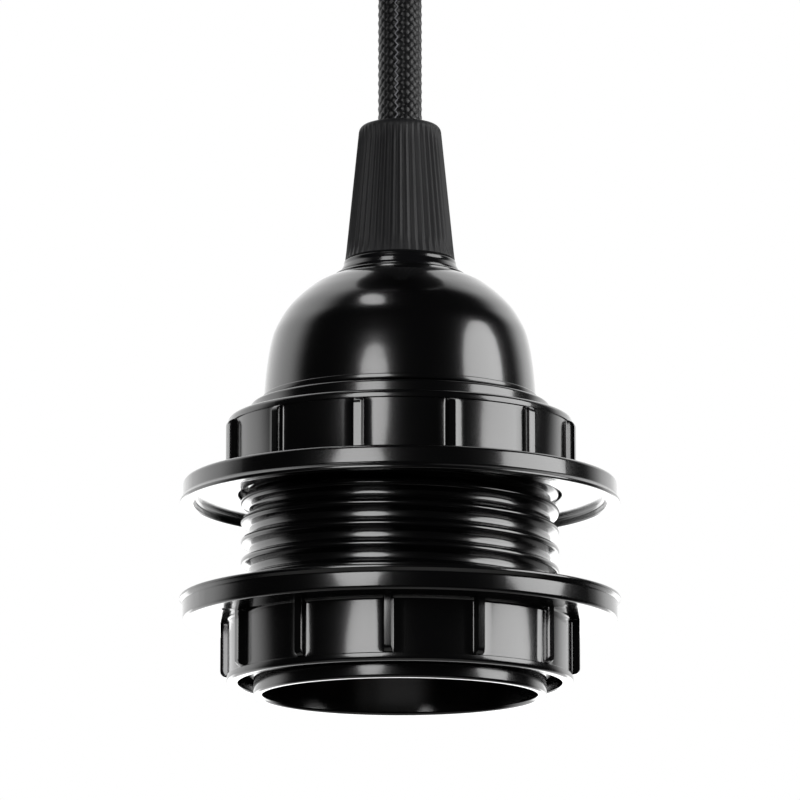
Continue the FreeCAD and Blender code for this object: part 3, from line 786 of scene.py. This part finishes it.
@dataclass
class CordGrip(Assembly):
    """The cord grip: the ribbed nut, the bush with its flared flange, and the lock nut, in millimetres."""

    base_radius: float = 7.4
    top_radius: float = 5.6
    top_round: float = 1.1
    ribs: int = 44
    rib_depth: float = 0.26
    smooth_foot: float = 0.9
    bore: float = 3.15
    wide_bore: float = 5.9
    flange_radius: float = 8.1
    flange_top: float = 7.55
    flange_height: float = 1.8
    foot_bevel: float = 0.25
    groove_ending: float = 0.6
    stem_radius: float = 5.0
    neck_radius: float = 5.5
    neck_height: float = 6.0
    collet_radius: float = 4.3

    def build(self) -> None:
        """Build the nut and the bush, and dress the lock nut."""
        self.nut()
        self.bush()
        self.dress(ZincPlate(), "lock_nut")

    def nut(self) -> None:
        """Build the ribbed nut, its ribs running out under its rounded top."""
        foot, top = self.foot("grip_nut"), self.top("grip_nut")
        height = top - foot
        shoulder = height - self.top_round
        bevel = self.foot_bevel
        outside = [(self.wide_bore, 0.0), (self.base_radius - bevel, 0.0), (self.base_radius, bevel)]
        for step in range(1, 15):
            level = bevel + (shoulder - bevel) * step / 14
            narrowing = (self.top_radius - self.base_radius) * level / shoulder
            outside.append((self.base_radius + narrowing, level))
        for step in range(1, 8):
            turn = pi / 2 * step / 7
            outside.append((self.top_radius - self.top_round * (1 - cos(turn)),
                            shoulder + self.top_round * sin(turn)))
        inside = [(self.bore + 0.3, height), (self.bore, height - 0.3), (self.bore, height - 3.0),
                  (self.wide_bore - 1.2, height - 4.5), (self.wide_bore - 1.2, 9.0), (self.wide_bore, 9.0)]
        outline = [(radius, foot + level) for radius, level in outside + inside]
        depth = [self.groove_depth(level, shoulder) if index < len(outside) else 0.0
                 for index, (_, level) in enumerate(outside + inside)]

        def reach(angle: float, number: int) -> float:
            """How far the groove sinks the surface at an angle."""
            wave = 0.5 - 0.5 * cos(self.ribs * angle)
            return -depth[number] * wave ** 0.7

        nut = lathe_rows(outline, self.ribs * 10, reach)
        self.add("grip_nut_ribbed", [(nut, True, True)], MouldedNylon(), "grip_nut", "grip_nut", crease=50.0)

    def groove_depth(self, level: float, shoulder: float) -> float:
        """The grooves' depth at a level: none at the very foot and none on the rounded top."""
        end = shoulder + self.groove_ending
        if level <= 0.0 or level >= end:
            return 0.0
        rising = min(max(level - 0.2, 0.0) / self.smooth_foot, 1.0)
        ending = min((end - level) / (2 * self.groove_ending), 1.0)
        return self.rib_depth * min(rising, ending)

    def bush(self) -> None:
        """Build the bush: stem, flared flange, neck and slotted collet."""
        base = self.top("cap")
        rim = base + self.flange_height
        stem, neck, collet = self.foot("grip_bush"), rim + self.neck_height, self.top("grip_bush")
        outline = rounded([
            (self.bore, stem, 0.0), (self.stem_radius, stem, 0.4), (self.stem_radius, base, 0.0),
            (self.flange_radius, base, 0.22), (self.flange_radius - 0.12, base + 0.5, 0.4),
            (self.flange_top + 0.05, base + 1.2, 0.8), (self.flange_top, rim, 0.2),
            (self.neck_radius, rim, 0.0), (self.neck_radius, neck, 0.3), (self.collet_radius, neck, 0.0),
            (self.collet_radius, collet, 0.4), (self.bore, collet, 0.0),
        ], 6)
        bush = lathe_rows(outline, 128)
        self.add("grip_bush_turned", [(bush, True, True)], GlossNylon(), "holder", "grip_bush")


@dataclass
class DomedCap(Assembly):
    """The domed cap with its collar, beaded base and threaded neck, in millimetres."""

    height: float = 17.7
    hole: float = 5.1
    collar: float = 8.9
    bead: float = 18.5
    neck_radius: float = 17.3
    neck_inner: float = 16.4
    neck_lead: float = 0.9
    neck_run: float = 3.9
    dome: tuple[Spot, ...] = (
        (9.6, -0.6), (11.2, -1.35), (12.7, -2.45), (14.0, -3.6), (15.25, -5.0), (16.25, -6.6), (17.0, -8.2),
        (17.5, -10.2), (17.85, -12.4), (18.08, -14.6), (18.25, -16.9),
    )
    neck_thread: Thread = Thread(root=17.3, crest=17.6, pitch=1.5, crest_width=0.35, foot_width=1.1,
                                 hand=Hand.RIGHT)

    def build(self) -> None:
        """Build the cap in one piece with its neck's thread."""
        top = self.top("cap")
        base, neck = top - self.height, self.foot("cap")
        outside = [(self.hole, top, 0.2), (self.collar, top, 0.25), (self.collar, top - 0.6, 0.1)]
        outside += [(radius, top + level, 0.0) for radius, level, _ in flowing(self.dome, 6)]
        below = [
            (self.bead, base + 0.8, 0.3), (self.bead, base, 0.3), (self.neck_radius, base, 0.1),
            (self.neck_radius, neck, 0.4), (self.neck_inner, neck, 0.3), (self.neck_inner, base, 1.0),
            (self.bead - 3.2, top - 9.0, 3.0), (12.0, top - 5.4, 3.0), (7.6, top - 2.6, 1.0),
            (self.hole, top - 2.6, 0.2),
        ]
        rows = lathe_rows(rounded(outside + below, 6), 192)
        thread = self.neck_thread.rows(neck + self.neck_lead, self.neck_run)
        parts = [(rows, True, True), (thread, False, False)]
        self.add("cap_moulded", parts, PolishedPhenolic(), "holder", "cap")


@dataclass
class ThreadedSkirt(Assembly):
    """The skirt, threaded outside over its whole length, in millimetres."""

    mouth: float = 18.3
    band: float = 19.5
    band_height: float = 2.4
    chamber: float = 18.0
    ledge: float = 15.4
    ledge_height: float = 2.2
    neck_depth: float = 6.0
    insert_depth: float = 3.6
    band_slope: float = 0.6
    thread_margin: float = 3.0
    thread_start: float = -160.0
    thread: Thread = Thread(root=20.1, crest=21.3, pitch=2.7, crest_width=0.85, foot_width=1.72,
                            hand=Hand.LEFT, crown=0.16, hollow=0.05)

    def build(self) -> None:
        """Build the wall and the thread on it as one piece."""
        foot, top = self.foot("skirt"), self.top("skirt")
        shelf = top - self.neck_depth - self.insert_depth
        outline = rounded([
            (self.mouth, foot, 0.45), (self.band, foot, 0.4), (self.band, foot + self.band_height, 0.1),
            (self.thread.root, foot + self.band_height + self.band_slope, 0.2), (self.thread.root, top, 0.35),
            (self.chamber, top, 0.3), (self.chamber, shelf, 0.1), (self.ledge, shelf, 0.2),
            (self.ledge, shelf - self.ledge_height, 0.3), (self.mouth, shelf - self.ledge_height, 0.6),
        ], 6)
        pitch = self.thread.pitch
        climb = top - foot - 2 * self.thread_margin - pitch
        start = foot + self.thread_margin + pitch / 2
        ridge = self.thread.rows(start, climb, radians(self.thread_start))
        parts = [(lathe_rows(outline, 192), True, True), (ridge, False, False)]
        self.add("skirt_threaded", parts, PolishedPhenolic(), "skirt", "skirt")


RIB_FORM: tuple[Spot, ...] = ((0.0, 1.0), (0.72, 1.0), (0.9, 0.86), (1.0, 0.45), (1.1, 0.1), (1.35, 0.0))
RIB_COLUMNS = (0.4, 0.72, 0.9, 1.0, 1.1, 1.35)


class RingPlace(Enum):
    """Where a shade ring stands: its CAD node, body, which way up it is, and its first rib's angle."""

    UPPER = ("upper_shade_ring", "upper_ring", 1.0, 16.5)
    LOWER = ("lower_shade_ring", "lower_ring", -1.0, -3.8)


@dataclass
class ShadeRing(Assembly):
    """A shade ring: a ribbed wall for the fingers on a flange with a lip, in millimetres."""

    place: RingPlace = RingPlace.UPPER
    bore: float = 21.6
    wall: float = 22.9
    rib_tip: float = 24.0
    rib_width: float = 1.25
    ribs: int = 12
    rib_round: float = 0.9
    height: float = 11.6
    shoulder: float = 1.05
    step: float = 0.2
    flange: float = 29.0
    flange_height: float = 3.2
    disc: float = 2.0
    lip: float = 1.4
    bead: float = 29.45
    bead_height: float = 0.4

    def build(self) -> None:
        """Build the ring from its lip up, turned over if it is the lower one."""
        node, body, up, first = self.place.value
        base = self.foot(node) if up > 0 else self.top(node)
        under, wall_top = self.flange_height - self.disc, self.height - self.shoulder
        lip = self.flange - self.lip
        corners = [
            (self.bore, under, 0.3), (lip, under, 0.5), (lip, 0.0, 0.25),
            (self.bead, 0.0, 0.2), (self.bead, self.bead_height, 0.2),
            (self.flange, self.bead_height + self.bead - self.flange, 0.4),
            (self.flange, self.flange_height, 0.5), (self.wall, self.flange_height, 0.45),
            (self.wall, wall_top, 0.06), (self.wall + self.step, wall_top, 0.08),
            (self.wall + self.step, self.height, self.shoulder - 0.1), (self.bore, self.height, 0.2),
        ]
        outline = self.with_rib_levels(rounded(corners, 6))
        proud, angles = self.rib_tip - self.wall, self.angles()
        rows: Rows = []
        for radius, level in outline:
            share = self.rib_share(radius, level)
            rows.append([around(radius + proud * self.rib_across(angle) * share, up * angle + radians(first),
                                base + up * level) for angle in angles])
        ring = self.add(f"{node}_moulded", [(rows, True, True)], PolishedPhenolic(), body, node, crease=40.0)
        if up > 0:
            ring.data.flip_normals()

    def with_rib_levels(self, outline: list[Spot]) -> list[Spot]:
        """Add the levels on the wall where the ribs' rounded ends need points."""
        wall_top = self.height - self.shoulder
        base = wall_top - self.rib_round
        levels = [base + self.rib_round * sin(pi / 2 * step / 7) for step in range(7)]
        points: list[Spot] = []
        for index, (radius, level) in enumerate(outline):
            points.append((radius, level))
            after = outline[(index + 1) % len(outline)]
            long_wall = abs(radius - self.wall) < 0.01 and abs(after[0] - self.wall) < 0.01
            if long_wall and after[1] - level > 2.0:
                points.extend((self.wall, rise) for rise in levels if level < rise < after[1])
        return points

    def rib_share(self, radius: float, level: float) -> float:
        """How much of a rib stands at a level of the outline."""
        wall_top = self.height - self.shoulder
        proud = self.rib_tip - self.wall
        if level < self.flange_height or radius < self.wall - 0.4 or level > wall_top + 1e-6:
            return 0.0
        if radius > self.wall + 0.02 and level < wall_top - self.rib_round:
            return max(0.0, 1.0 - (radius - self.wall) / proud)
        sunk = min(1.0, max(0.0, level - (wall_top - self.rib_round)) / self.rib_round)
        rise = proud - self.rib_round + self.rib_round * sqrt(1.0 - sunk ** 2)
        return max(0.0, rise - (radius - self.wall)) / proud

    def angles(self) -> list[float]:
        """The angles of the ring's columns, close together at the ribs' flanks."""
        step = TURN / self.ribs
        half = self.rib_width / 2 / self.rib_tip
        near = [*(-share for share in reversed(RIB_COLUMNS)), 0.0, *RIB_COLUMNS]
        angles = []
        for rib in range(self.ribs):
            middle = step * rib
            angles.extend(middle + half * share for share in near)
            start, stop = middle + half * near[-1], middle + step - half * near[-1]
            angles.extend(start + (stop - start) * part / 8 for part in range(1, 8))
        return angles

    def rib_across(self, angle: float) -> float:
        """How much of a rib stands at an angle: 1 on its tip, 0 on the wall, round at its edges."""
        step = TURN / self.ribs
        away = abs((angle + step / 2) % step - step / 2) * self.rib_tip / (self.rib_width / 2)
        for (inner, high), (outer, low) in zip(RIB_FORM, RIB_FORM[1:]):
            if away <= outer + 1e-6:
                return high + (low - high) * max(0.0, away - inner) / (outer - inner)
        return 0.0


@dataclass
class LampInsert(Assembly):
    """What takes the lamp: the rolled shell, the spring leaf and the moulded base, in millimetres."""

    radius: float = 13.8
    wall: float = 0.4
    roll_pitch: float = 3.629
    roll_depth: float = 0.5
    roll_levels: int = 12
    roll_steps: int = 72
    foot_fade: float = 2.0
    top_fade: float = 3.0
    hub_hole: float = 7.8
    leaf_width: float = 5.0
    leaf_gauge: float = 0.5
    leaf_foot: float = 6.6
    leaf_bend: float = 3.4
    leaf_tip: float = -2.0
    leaf_sag: float = 1.15
    leaf_stations: int = 40
    dimple_depth: float = 0.35
    dimple_radius: float = 1.5
    dimple_inset: float = 2.2

    def build(self) -> None:
        """Build the shell and the leaf, and dress the rest."""
        self.shell()
        self.leaf()
        self.dress(PolishedPhenolic(), "contact_base", edge_mm=0.3)
        self.dress(DrawnBrass(), "leaf_rivet", "shell_rivets", "live_terminal", "neutral_terminal")
        self.dress(ZincPlate(), "terminal_screws")

    def shell(self) -> None:
        """Build the drawn shell with its rolled round thread."""
        foot, top = self.foot("screw_shell"), self.top("screw_shell")
        levels, steps = self.roll_levels, self.roll_steps
        turns = (top - foot) / self.roll_pitch
        outer: Rows = []
        inner: Rows = []
        for number in range(int((turns + 1) * levels) + 1):
            share = number / levels
            out_row, in_row = [], []
            for step in range(steps + 1):
                turn = step / steps
                height = foot + self.roll_pitch * (share - 1 + turn)
                clamped = min(max(height, foot), top)
                wave = 0.5 - 0.5 * cos(TURN * share)
                ends = min(1.0, (clamped - foot) / self.foot_fade, (top - clamped) / self.top_fade)
                sunk = self.roll_depth * 2 * wave * max(ends, 0.0)
                out_row.append(around(self.radius - sunk, TURN * turn, clamped))
                in_row.append(around(self.radius - self.wall - sunk, TURN * turn, clamped))
            outer.append(out_row)
            inner.append(in_row)
        under = top - self.wall
        roof = lathe_rows([(self.radius, top), (self.hub_hole, top), (self.hub_hole, under),
                           (self.radius, under)], steps)
        mouth = lathe_rows([(self.radius - self.wall, foot), (self.radius, foot)], steps)
        parts = [(outer, False, False), (inner, False, False), (roof, True, True), (mouth, True, False)]
        self.add("screw_shell_rolled", parts, DrawnBrass(), "holder", "screw_shell", crease=45.0)

    def leaf(self) -> None:
        """Build the spring leaf, round at its free end and dimpled where it meets the lamp."""
        top, low = self.top("centre_contact"), self.foot("centre_contact")
        stations = self.leaf_stations
        rows: Rows = []
        for station in range(stations + 1):
            x = self.leaf_foot + (self.leaf_tip - self.leaf_foot) * station / stations
            past = max(0.0, self.leaf_bend - x) / (self.leaf_bend - self.leaf_tip)
            drop = (top - low - self.leaf_gauge) * past ** self.leaf_sag
            end = max(0.0, self.leaf_tip + self.leaf_width / 2 - x) / (self.leaf_width / 2)
            half = self.leaf_width / 2 * sqrt(max(0.02, 1.0 - end ** 2))
            row = []
            for under in (0.0, self.leaf_gauge):
                for column in range(13):
                    across = -half + 2 * half * column / 12
                    if under:
                        across = -across
                    away = hypot(x - (self.leaf_tip + self.dimple_inset), across)
                    dimple = self.dimple_depth * max(0.0, 1.0 - (away / self.dimple_radius) ** 2)
                    row.append(Vector((x, across, top - drop - under + dimple * 0.6)) * MM)
            rows.append(row)
        self.add("centre_contact_leaf", [(rows, True, False)], DrawnBrass(), "centre_contact",
                 "centre_contact", crease=50.0)


# Camera, light and floor

@dataclass
class Studio:
    """The camera, the soft lamps, the pale floor and the bright background, in metres and degrees."""

    camera_place: Triple = (0.0, -0.750, -0.2258)
    aim: Triple = (0.0, 0.0, -0.08439)
    lens: float = 255.7
    floor_height: float = -1.9
    floor_reach: float = 1.5
    floor_glow: float = 0.7
    backdrop_way: Triple = (-0.21, 0.94, 0.26)
    backdrop_start: float = 0.27
    backdrop_full: float = 0.62
    dim_room: float = 0.01
    soft_fill: float = 0.08

    def build(self) -> None:
        """Set up everything that isn't part of the lamp holder."""
        self.floor()
        self.world()
        self.lamp("front_left_lamp", -22.0, 10.0, 1.6, (0.80, 0.80), 4.4)
        self.lamp("right_lamp", 77.0, 14.0, 1.6, (1.20, 1.10), 4.2)
        self.lamp("overhead_lamp", -45.6, 66.0, 1.5, (0.47, 0.27), 3.8)
        self.lamp("backdrop_lamp", 180.0, -10.0, 1.6, (2.4, 0.5), 1.4)

    def camera(self) -> None:
        """Put the camera in front of the lamp holder, low and looking up."""
        data = bpy.data.cameras.new("camera")
        data.lens = self.lens
        data.sensor_width = 36.0
        data.clip_start = 0.05
        data.clip_end = 20.0
        camera = placed("camera", data)
        camera.location = self.camera_place
        sight = Vector(self.aim) - Vector(self.camera_place)
        camera.rotation_euler = sight.to_track_quat("-Z", "Y").to_euler()
        bpy.context.scene.camera = camera

    def lamp(self, name: str, azimuth: float, elevation: float, distance: float, size: tuple[float, float],
             radiance: float) -> None:
        """Add a soft oval lamp that faces the lamp holder.

        Args:
            name: The lamp's name.
            azimuth: Its direction, counted from the front towards +X.
            elevation: Its height above the horizon.
            distance: How far it stands from the lamp holder's middle.
            size: Its width and height.
            radiance: How bright its face is.
        """
        data = bpy.data.lights.new(name, "AREA")
        data.shape = "ELLIPSE"
        data.size, data.size_y = size
        data.energy = radiance * pi * size[0] * size[1] * pi / 4
        lamp = placed(name, data)
        turn, rise = radians(azimuth), radians(elevation)
        away = Vector((sin(turn) * cos(rise), -cos(turn) * cos(rise), sin(rise)))
        lamp.location = Vector(self.aim) + away * distance
        lamp.rotation_euler = away.to_track_quat("Z", "Y").to_euler()
        lamp.visible_camera = False

    def floor(self) -> None:
        """Lay a plain pale floor well below the lamp holder."""
        reach = self.floor_reach
        mesh = bpy.data.meshes.new("floor")
        ways = ((-1, -1), (1, -1), (1, 1), (-1, 1))
        mesh.from_pydata([(x * reach, y * reach, self.floor_height) for x, y in ways], [], [(0, 1, 2, 3)])
        floor = placed("floor", mesh)
        finish = Finish(name="floor_matt_paint", slot="", colour="#dededc", shade="#d6d6d4", roughness=0.8,
                        spread=0.05, patch_mm=60.0, grain_mm=2.0, relief_mm=0.05)
        paint = finish.material()
        self.show_pale(paint)
        mesh.materials.append(paint)

    def show_pale(self, paint: bpy.types.Material) -> None:
        """Let the floor look pale to the camera, while it throws no more light on the object."""
        tree = paint.node_tree
        shader = next(node for node in tree.nodes if node.type == "BSDF_PRINCIPLED")
        out = next(node for node in tree.nodes if node.type == "OUTPUT_MATERIAL")
        seen = add_node(tree, "ShaderNodeLightPath").outputs["Is Camera Ray"]
        share = add_node(tree, "ShaderNodeMath", {"operation": "MULTIPLY", 1: self.floor_glow},
                         {0: seen}).outputs[0]
        glow = add_node(tree, "ShaderNodeEmission", {"Color": linear("#f2f2f0"), "Strength": 1.0})
        mixed = add_node(tree, "ShaderNodeMixShader", links={0: share, 1: shader.outputs["BSDF"],
                                                             2: glow.outputs["Emission"]})
        tree.links.new(mixed.outputs["Shader"], out.inputs["Surface"])

    def world(self) -> None:
        """A bright background behind, and a dim room in front for the gloss to mirror."""
        world = bpy.data.worlds.new("studio")
        bpy.context.scene.world = world
        world.use_nodes = True
        tree = world.node_tree
        tree.nodes.clear()
        way = add_node(tree, "ShaderNodeTexCoord").outputs["Generated"]
        facing = add_node(tree, "ShaderNodeVectorMath", {"operation": "DOT_PRODUCT", 1: self.backdrop_way},
                          {0: way}).outputs["Value"]
        behind = add_node(tree, "ShaderNodeMapRange", {
            "From Min": self.backdrop_start, "From Max": self.backdrop_full, "To Min": self.dim_room,
            "To Max": 1.0, "interpolation_type": "SMOOTHSTEP"}, {"Value": facing}).outputs["Result"]
        rays = add_node(tree, "ShaderNodeLightPath")
        gleam = add_node(tree, "ShaderNodeMath", {"operation": "MULTIPLY"},
                         {0: behind, 1: rays.outputs["Is Glossy Ray"]}).outputs[0]
        seen = add_node(tree, "ShaderNodeMath", {"operation": "MAXIMUM"},
                        {0: rays.outputs["Is Camera Ray"], 1: rays.outputs["Is Transmission Ray"]}).outputs[0]
        bright = add_node(tree, "ShaderNodeMath", {"operation": "MAXIMUM"}, {0: gleam, 1: seen}).outputs[0]
        glossy = add_node(tree, "ShaderNodeMath", {"operation": "MAXIMUM"},
                          {0: rays.outputs["Is Glossy Ray"], 1: seen}).outputs[0]
        fill = add_node(tree, "ShaderNodeMath", {"operation": "SUBTRACT", 0: 1.0}, {1: glossy}).outputs[0]
        soft = add_node(tree, "ShaderNodeMath", {"operation": "MULTIPLY", 1: self.soft_fill},
                        {0: fill}).outputs[0]
        strength = add_node(tree, "ShaderNodeMath", {"operation": "ADD"}, {0: bright, 1: soft}).outputs[0]
        sky = add_node(tree, "ShaderNodeBackground", {"Color": linear("#ffffff")}, {"Strength": strength})
        add_node(tree, "ShaderNodeOutputWorld", links={"Surface": sky.outputs["Background"]})


# The whole scene

def main() -> None:
    """Build the studio and every sub-assembly."""
    logging.basicConfig(level=logging.INFO, format="%(message)s")
    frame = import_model()
    bpy.context.scene.view_settings.view_transform = "Standard"
    studio = Studio()
    studio.camera()
    CeilingFitting(frame).build()
    Cord(frame).build()
    CordGrip(frame).build()
    DomedCap(frame).build()
    ThreadedSkirt(frame).build()
    for place in RingPlace:
        ShadeRing(frame, place=place).build()
    LampInsert(frame).build()
    studio.build()


if __name__ == "__main__":
    main()
